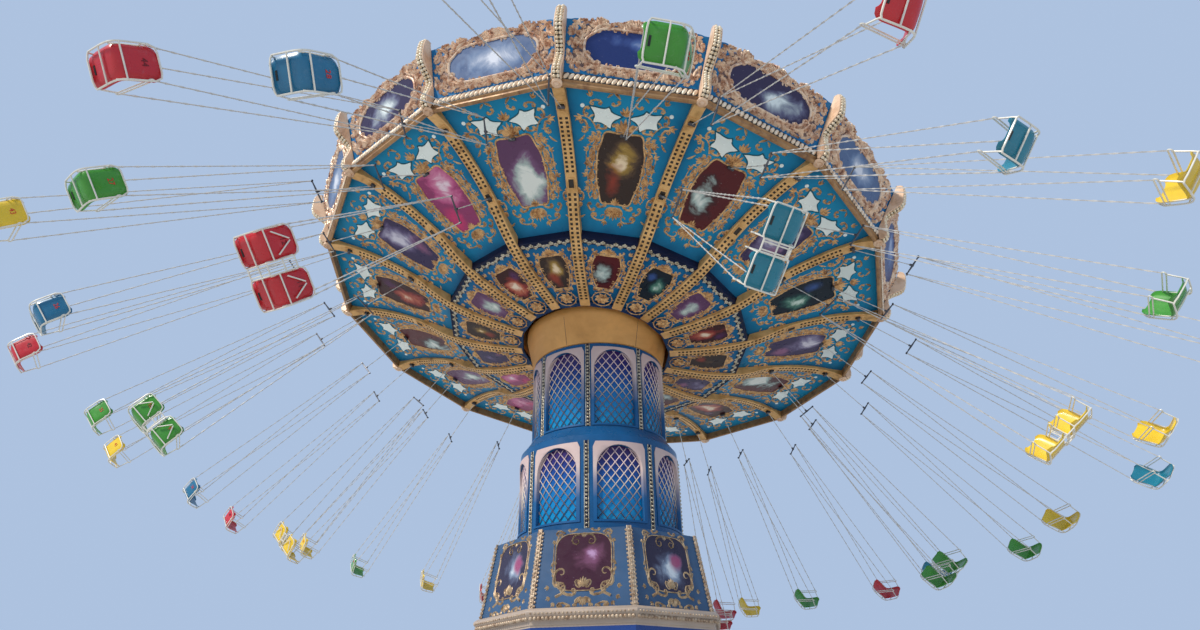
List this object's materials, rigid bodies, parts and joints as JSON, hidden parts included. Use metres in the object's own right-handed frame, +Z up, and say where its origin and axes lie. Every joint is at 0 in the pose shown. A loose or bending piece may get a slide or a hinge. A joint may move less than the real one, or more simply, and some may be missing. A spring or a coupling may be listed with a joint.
{
  "type": "chair swing ride",
  "caption": "Fairground chair swing ride with an octagonal base, a lifting tower, a tilted sixteen-sided canopy and flying chain seats.",
  "frame": {"origin": "tower axis at ground level", "axes": "+Z up; the base octagon has two flat sides across X and two across Y"},
  "size_m": [19.2973, 19.142, 11.3811],
  "materials": {
    "cream": "satin gloss",
    "blue": "gloss",
    "navy": "gloss",
    "gold": "satin",
    "azure": "gloss",
    "picture": "satin",
    "steel": "satin",
    "roof": "matt",
    "sea_blue": "gloss",
    "red": "gloss",
    "yellow": "gloss",
    "green": "gloss",
    "teal": "gloss"
  },
  "bodies": {
    "base": {"base_frame": "cream", "base_wall": "navy", "base_cornice": "cream", "base_skirt": "blue"},
    "lower_stage": {"lower_drum": "blue", "lower_drum_glazing": "navy"},
    "upper_stage": {"upper_drum": "blue", "upper_drum_glazing": "navy"},
    "head": {"head_collar": "gold"},
    "tilt_arm": {"tilt_hub": "steel"},
    "canopy": {"canopy_hub": "steel", "rib_frame": "gold", "inner_ceiling": "picture", "mid_band": "navy", "outer_ceiling": "azure", "rim_cornice": "gold", "crown_boards": "azure", "canopy_roof": "roof", "roof_cap": "gold"},
    "swing_double_2": {"swing_double_2": "red"},
    "swing_rib_01": {"swing_rib_01": "teal"},
    "swing_midbay_01": {"swing_midbay_01": "yellow"},
    "swing_rib_02": {"swing_rib_02": "green"},
    "swing_midbay_02": {"swing_midbay_02": "teal"},
    "swing_rib_03": {"swing_rib_03": "red"},
    "swing_midbay_03": {"swing_midbay_03": "green"},
    "swing_rib_04": {"swing_rib_04": "yellow"},
    "swing_midbay_04": {"swing_midbay_04": "red"},
    "swing_rib_05": {"swing_rib_05": "teal"},
    "swing_midbay_05": {"swing_midbay_05": "green"},
    "swing_rib_06": {"swing_rib_06": "red"},
    "swing_midbay_06": {"swing_midbay_06": "yellow"},
    "swing_rib_07": {"swing_rib_07": "green"},
    "swing_midbay_07": {"swing_midbay_07": "yellow"},
    "swing_rib_08": {"swing_rib_08": "red"},
    "swing_midbay_08": {"swing_midbay_08": "sea_blue"},
    "swing_rib_09": {"swing_rib_09": "yellow"},
    "swing_midbay_09": {"swing_midbay_09": "green"},
    "swing_rib_10": {"swing_rib_10": "red"},
    "swing_midbay_10": {"swing_midbay_10": "sea_blue"},
    "swing_rib_11": {"swing_rib_11": "yellow"},
    "swing_midbay_11": {"swing_midbay_11": "green"},
    "swing_rib_12": {"swing_rib_12": "red"},
    "swing_midbay_12": {"swing_midbay_12": "sea_blue"},
    "swing_rib_13": {"swing_rib_13": "green"},
    "swing_midbay_13": {"swing_midbay_13": "green"},
    "swing_rib_14": {"swing_rib_14": "red"},
    "swing_midbay_14": {"swing_midbay_14": "teal"},
    "swing_rib_15": {"swing_rib_15": "yellow"},
    "swing_midbay_15": {"swing_midbay_15": "green"},
    "swing_rib_16": {"swing_rib_16": "green"},
    "swing_midbay_16": {"swing_midbay_16": "yellow"},
    "swing_double_1": {"swing_double_1": "green"},
    "swing_double_3": {"swing_double_3": "teal"},
    "swing_double_4": {"swing_double_4": "yellow"},
    "swing_double_5": {"swing_double_5": "green"},
    "swing_double_6": {"swing_double_6": "red"},
    "swing_double_7": {"swing_double_7": "teal"},
    "swing_double_8": {"swing_double_8": "yellow"}
  },
  "joints": [
    {"name": "lower_lift", "type": "slide", "parent": "base", "child": "lower_stage", "axis": [0, 0, 1], "range_m": [-1.4, 0]},
    {"name": "upper_lift", "type": "slide", "parent": "lower_stage", "child": "upper_stage", "axis": [0, 0, 1], "range_m": [-1.4, 0]},
    {"name": "head_turn", "type": "hinge", "parent": "upper_stage", "child": "head", "pos_m": [0, 0, 7.7], "axis": [0, 0, 1], "continuous": true},
    {"name": "canopy_tilt", "type": "hinge", "parent": "head", "child": "tilt_arm", "pos_m": [0, 0, 8.527], "axis": [-0.8821, 0.471, 0], "range_deg": [-11.3, 0]},
    {"name": "canopy_spin", "type": "hinge", "parent": "tilt_arm", "child": "canopy", "pos_m": [0, 0, 8.527], "axis": [0.0923, 0.1728, 0.9806], "continuous": true},
    {"name": "swing_double_2_hinge", "type": "hinge", "parent": "canopy", "child": "swing_double_2", "pos_m": [1.38335, 3.61719, 7.94795], "axis": [0.9525, -0.3022, -0.0364], "range_deg": [-46.22, 4]},
    {"name": "swing_rib_01_hinge", "type": "hinge", "parent": "canopy", "child": "swing_rib_01", "pos_m": [5.24087, 0.17586, 8.49407], "axis": [0.0965, -0.9817, 0.164], "range_deg": [-56.41, 4.89]},
    {"name": "swing_midbay_01_hinge", "type": "hinge", "parent": "canopy", "child": "swing_midbay_01", "pos_m": [4.60824, 1.07324, 8.41933], "axis": [0.288, -0.9474, 0.1399], "range_deg": [-54.94, 4.76]},
    {"name": "swing_rib_02_hinge", "type": "hinge", "parent": "canopy", "child": "swing_rib_02", "pos_m": [4.77715, 2.1367, 8.19209], "axis": [0.4684, -0.8766, 0.1104], "range_deg": [-57.44, 4.98]},
    {"name": "swing_midbay_02_hinge", "type": "hinge", "parent": "canopy", "child": "swing_midbay_02", "pos_m": [3.85114, 2.73131, 8.19833], "axis": [0.6309, -0.7721, 0.0767], "range_deg": [-55.52, 4.81]},
    {"name": "swing_rib_03_hinge", "type": "hinge", "parent": "canopy", "child": "swing_rib_03", "pos_m": [3.59291, 3.78491, 8.01302], "axis": [0.769, -0.638, 0.0401], "range_deg": [-57.55, 4.99]},
    {"name": "swing_midbay_03_hinge", "type": "hinge", "parent": "canopy", "child": "swing_midbay_03", "pos_m": [2.51483, 3.98685, 8.10279], "axis": [0.8777, -0.4793, 0.0019], "range_deg": [-55.16, 4.78]},
    {"name": "swing_rib_04_hinge", "type": "hinge", "parent": "canopy", "child": "swing_rib_04", "pos_m": [1.86846, 4.86959, 7.98413], "axis": [0.9525, -0.3022, -0.0364], "range_deg": [-56.73, 4.92]},
    {"name": "swing_midbay_04_hinge", "type": "hinge", "parent": "canopy", "child": "swing_midbay_04", "pos_m": [0.80276, 4.64873, 8.14726], "axis": [0.9908, -0.1135, -0.0732], "range_deg": [-53.9, 4.67]},
    {"name": "swing_rib_05_hinge", "type": "hinge", "parent": "canopy", "child": "swing_rib_05", "pos_m": [-0.13368, 5.2256, 8.10981], "axis": [0.991, 0.0795, -0.1073], "range_deg": [-55.1, 4.78]},
    {"name": "swing_midbay_05_hinge", "type": "hinge", "parent": "canopy", "child": "swing_midbay_05", "pos_m": [-1.02442, 4.61617, 8.32497], "axis": [0.9532, 0.2695, -0.1372], "range_deg": [-51.95, 4.5]},
    {"name": "swing_rib_06_hinge", "type": "hinge", "parent": "canopy", "child": "swing_rib_06", "pos_m": [-2.1087, 4.79873, 8.37094], "axis": [0.8787, 0.4492, -0.1619], "range_deg": [-52.9, 4.59]},
    {"name": "swing_midbay_06_hinge", "type": "hinge", "parent": "canopy", "child": "swing_midbay_06", "pos_m": [-2.68854, 3.89414, 8.60886], "axis": [0.7704, 0.6115, -0.1803], "range_deg": [-49.6, 4.3]},
    {"name": "swing_rib_07_hinge", "type": "hinge", "parent": "canopy", "child": "swing_rib_07", "pos_m": [-3.75591, 3.65398, 8.72775], "axis": [0.6325, 0.7504, -0.1918], "range_deg": [-50.48, 4.38]},
    {"name": "swing_midbay_07_hinge", "type": "hinge", "parent": "canopy", "child": "swing_midbay_07", "pos_m": [-3.93626, 2.59256, 8.95572], "axis": [0.4703, 0.8605, -0.1959], "range_deg": [-47.2, 4.09]},
    {"name": "swing_rib_08_hinge", "type": "hinge", "parent": "canopy", "child": "swing_rib_08", "pos_m": [-4.82456, 1.96562, 9.12593], "axis": [0.2901, 0.9374, -0.1925], "range_deg": [-48.2, 4.18]},
    {"name": "swing_midbay_08_hinge", "type": "hinge", "parent": "canopy", "child": "swing_midbay_08", "pos_m": [-4.57762, 0.90958, 9.31273], "axis": [0.0987, 0.9784, -0.1817], "range_deg": [-45.12, 3.91]},
    {"name": "swing_rib_09_hinge", "type": "hinge", "parent": "canopy", "child": "swing_rib_09", "pos_m": [-5.15194, -0.0093, 9.50486], "axis": [-0.0965, 0.9817, -0.164], "range_deg": [-46.41, 4.03]},
    {"name": "swing_midbay_09_hinge", "type": "hinge", "parent": "canopy", "child": "swing_midbay_09", "pos_m": [-4.51498, -0.89858, 9.62556], "axis": [-0.288, 0.9474, -0.1399], "range_deg": [-43.68, 3.79]},
    {"name": "swing_rib_10_hinge", "type": "hinge", "parent": "canopy", "child": "swing_rib_10", "pos_m": [-4.68821, -1.97013, 9.80684], "axis": [-0.4684, 0.8766, -0.1104], "range_deg": [-45.38, 3.94]},
    {"name": "swing_midbay_10_hinge", "type": "hinge", "parent": "canopy", "child": "swing_midbay_10", "pos_m": [-3.75787, -2.55665, 9.84656], "axis": [-0.6309, 0.7721, -0.0767], "range_deg": [-43.1, 3.74]},
    {"name": "swing_rib_11_hinge", "type": "hinge", "parent": "canopy", "child": "swing_rib_11", "pos_m": [-3.50398, -3.61835, 9.98591], "axis": [-0.769, 0.638, -0.0401], "range_deg": [-45.27, 3.93]},
    {"name": "swing_midbay_11_hinge", "type": "hinge", "parent": "canopy", "child": "swing_midbay_11", "pos_m": [-2.42157, -3.81219, 9.9421], "axis": [-0.8777, 0.4793, -0.0019], "range_deg": [-43.46, 3.77]},
    {"name": "swing_rib_12_hinge", "type": "hinge", "parent": "canopy", "child": "swing_rib_12", "pos_m": [-1.77953, -4.70303, 10.0148], "axis": [-0.9525, 0.3022, 0.0364], "range_deg": [-46.09, 4]},
    {"name": "swing_midbay_12_hinge", "type": "hinge", "parent": "canopy", "child": "swing_midbay_12", "pos_m": [-0.7095, -4.47407, 9.89763], "axis": [-0.9908, 0.1135, 0.0732], "range_deg": [-44.72, 3.88]},
    {"name": "swing_rib_13_hinge", "type": "hinge", "parent": "canopy", "child": "swing_rib_13", "pos_m": [0.22261, -5.05904, 9.88912], "axis": [-0.991, -0.0795, 0.1073], "range_deg": [-47.72, 4.14]},
    {"name": "swing_midbay_13_hinge", "type": "hinge", "parent": "canopy", "child": "swing_midbay_13", "pos_m": [1.11768, -4.44151, 9.71992], "axis": [-0.9532, -0.2695, 0.1372], "range_deg": [-46.67, 4.05]},
    {"name": "swing_rib_14_hinge", "type": "hinge", "parent": "canopy", "child": "swing_rib_14", "pos_m": [2.19763, -4.63217, 9.62799], "axis": [-0.8787, -0.4492, 0.1619], "range_deg": [-49.92, 4.33]},
    {"name": "swing_midbay_14_hinge", "type": "hinge", "parent": "canopy", "child": "swing_midbay_14", "pos_m": [2.7818, -3.71948, 9.43603], "axis": [-0.7704, -0.6115, 0.1803], "range_deg": [-49.02, 4.25]},
    {"name": "swing_rib_15_hinge", "type": "hinge", "parent": "canopy", "child": "swing_rib_15", "pos_m": [3.84485, -3.48742, 9.27118], "axis": [-0.6325, -0.7504, 0.1918], "range_deg": [-52.34, 4.54]},
    {"name": "swing_midbay_15_hinge", "type": "hinge", "parent": "canopy", "child": "swing_midbay_15", "pos_m": [4.02952, -2.4179, 9.08917], "axis": [-0.4703, -0.8605, 0.1959], "range_deg": [-51.42, 4.46]},
    {"name": "swing_rib_16_hinge", "type": "hinge", "parent": "canopy", "child": "swing_rib_16", "pos_m": [4.91349, -1.79906, 8.873], "axis": [-0.2901, -0.9374, 0.1925], "range_deg": [-54.62, 4.74]},
    {"name": "swing_midbay_16_hinge", "type": "hinge", "parent": "canopy", "child": "swing_midbay_16", "pos_m": [4.67088, -0.73492, 8.73216], "axis": [-0.0987, -0.9784, 0.1817], "range_deg": [-53.5, 4.64]},
    {"name": "swing_double_1_hinge", "type": "hinge", "parent": "canopy", "child": "swing_double_1", "pos_m": [3.56211, 1.57011, 8.10373], "axis": [0.4684, -0.8766, 0.1104], "range_deg": [-46.94, 4.07]},
    {"name": "swing_double_3_hinge", "type": "hinge", "parent": "canopy", "child": "swing_double_3", "pos_m": [-1.59575, 3.56411, 8.2377], "axis": [0.8787, 0.4492, -0.1619], "range_deg": [-42.4, 3.68]},
    {"name": "swing_double_4_hinge", "type": "hinge", "parent": "canopy", "child": "swing_double_4", "pos_m": [-3.63008, 1.44197, 8.80322], "axis": [0.2901, 0.9374, -0.1925], "range_deg": [-37.7, 3.27]},
    {"name": "swing_double_5_hinge", "type": "hinge", "parent": "canopy", "child": "swing_double_5", "pos_m": [-3.52795, -1.50613, 9.31326], "axis": [-0.4684, 0.8766, -0.1104], "range_deg": [-34.88, 3.03]},
    {"name": "swing_double_6_hinge", "type": "hinge", "parent": "canopy", "child": "swing_double_6", "pos_m": [-1.34919, -3.55321, 9.46903], "axis": [-0.9525, 0.3022, 0.0364], "range_deg": [-35.59, 3.09]},
    {"name": "swing_double_7_hinge", "type": "hinge", "parent": "canopy", "child": "swing_double_7", "pos_m": [1.62992, -3.50013, 9.17929], "axis": [-0.8787, -0.4492, 0.1619], "range_deg": [-39.42, 3.42]},
    {"name": "swing_double_8_hinge", "type": "hinge", "parent": "canopy", "child": "swing_double_8", "pos_m": [3.66424, -1.37798, 8.61376], "axis": [-0.2901, -0.9374, 0.1925], "range_deg": [-44.12, 3.83]}
  ],
  "couplings": [
    {"joint": "upper_lift", "follows": "lower_lift", "ratio": 1},
    {"joint": "swing_rib_01_hinge", "follows": "swing_double_2_hinge", "ratio": 1.2203},
    {"joint": "swing_midbay_01_hinge", "follows": "swing_double_2_hinge", "ratio": 1.1883},
    {"joint": "swing_rib_02_hinge", "follows": "swing_double_2_hinge", "ratio": 1.2426},
    {"joint": "swing_midbay_02_hinge", "follows": "swing_double_2_hinge", "ratio": 1.2009},
    {"joint": "swing_rib_03_hinge", "follows": "swing_double_2_hinge", "ratio": 1.245},
    {"joint": "swing_midbay_03_hinge", "follows": "swing_double_2_hinge", "ratio": 1.1931},
    {"joint": "swing_rib_04_hinge", "follows": "swing_double_2_hinge", "ratio": 1.2272},
    {"joint": "swing_midbay_04_hinge", "follows": "swing_double_2_hinge", "ratio": 1.166},
    {"joint": "swing_rib_05_hinge", "follows": "swing_double_2_hinge", "ratio": 1.1918},
    {"joint": "swing_midbay_05_hinge", "follows": "swing_double_2_hinge", "ratio": 1.1237},
    {"joint": "swing_rib_06_hinge", "follows": "swing_double_2_hinge", "ratio": 1.1443},
    {"joint": "swing_midbay_06_hinge", "follows": "swing_double_2_hinge", "ratio": 1.0728},
    {"joint": "swing_rib_07_hinge", "follows": "swing_double_2_hinge", "ratio": 1.0919},
    {"joint": "swing_midbay_07_hinge", "follows": "swing_double_2_hinge", "ratio": 1.0209},
    {"joint": "swing_rib_08_hinge", "follows": "swing_double_2_hinge", "ratio": 1.0426},
    {"joint": "swing_midbay_08_hinge", "follows": "swing_double_2_hinge", "ratio": 0.97602},
    {"joint": "swing_rib_09_hinge", "follows": "swing_double_2_hinge", "ratio": 1.0038},
    {"joint": "swing_midbay_09_hinge", "follows": "swing_double_2_hinge", "ratio": 0.94489},
    {"joint": "swing_rib_10_hinge", "follows": "swing_double_2_hinge", "ratio": 0.98151},
    {"joint": "swing_midbay_10_hinge", "follows": "swing_double_2_hinge", "ratio": 0.93228},
    {"joint": "swing_rib_11_hinge", "follows": "swing_double_2_hinge", "ratio": 0.97908},
    {"joint": "swing_midbay_11_hinge", "follows": "swing_double_2_hinge", "ratio": 0.94013},
    {"joint": "swing_rib_12_hinge", "follows": "swing_double_2_hinge", "ratio": 0.9969},
    {"joint": "swing_midbay_12_hinge", "follows": "swing_double_2_hinge", "ratio": 0.96723},
    {"joint": "swing_rib_13_hinge", "follows": "swing_double_2_hinge", "ratio": 1.0322},
    {"joint": "swing_midbay_13_hinge", "follows": "swing_double_2_hinge", "ratio": 1.0094},
    {"joint": "swing_rib_14_hinge", "follows": "swing_double_2_hinge", "ratio": 1.0797},
    {"joint": "swing_midbay_14_hinge", "follows": "swing_double_2_hinge", "ratio": 1.0604},
    {"joint": "swing_rib_15_hinge", "follows": "swing_double_2_hinge", "ratio": 1.1321},
    {"joint": "swing_midbay_15_hinge", "follows": "swing_double_2_hinge", "ratio": 1.1123},
    {"joint": "swing_rib_16_hinge", "follows": "swing_double_2_hinge", "ratio": 1.1815},
    {"joint": "swing_midbay_16_hinge", "follows": "swing_double_2_hinge", "ratio": 1.1572},
    {"joint": "swing_double_1_hinge", "follows": "swing_double_2_hinge", "ratio": 1.0154},
    {"joint": "swing_double_3_hinge", "follows": "swing_double_2_hinge", "ratio": 0.91717},
    {"joint": "swing_double_4_hinge", "follows": "swing_double_2_hinge", "ratio": 0.81541},
    {"joint": "swing_double_5_hinge", "follows": "swing_double_2_hinge", "ratio": 0.75434},
    {"joint": "swing_double_6_hinge", "follows": "swing_double_2_hinge", "ratio": 0.76973},
    {"joint": "swing_double_7_hinge", "follows": "swing_double_2_hinge", "ratio": 0.85256},
    {"joint": "swing_double_8_hinge", "follows": "swing_double_2_hinge", "ratio": 0.95432}
  ]
}
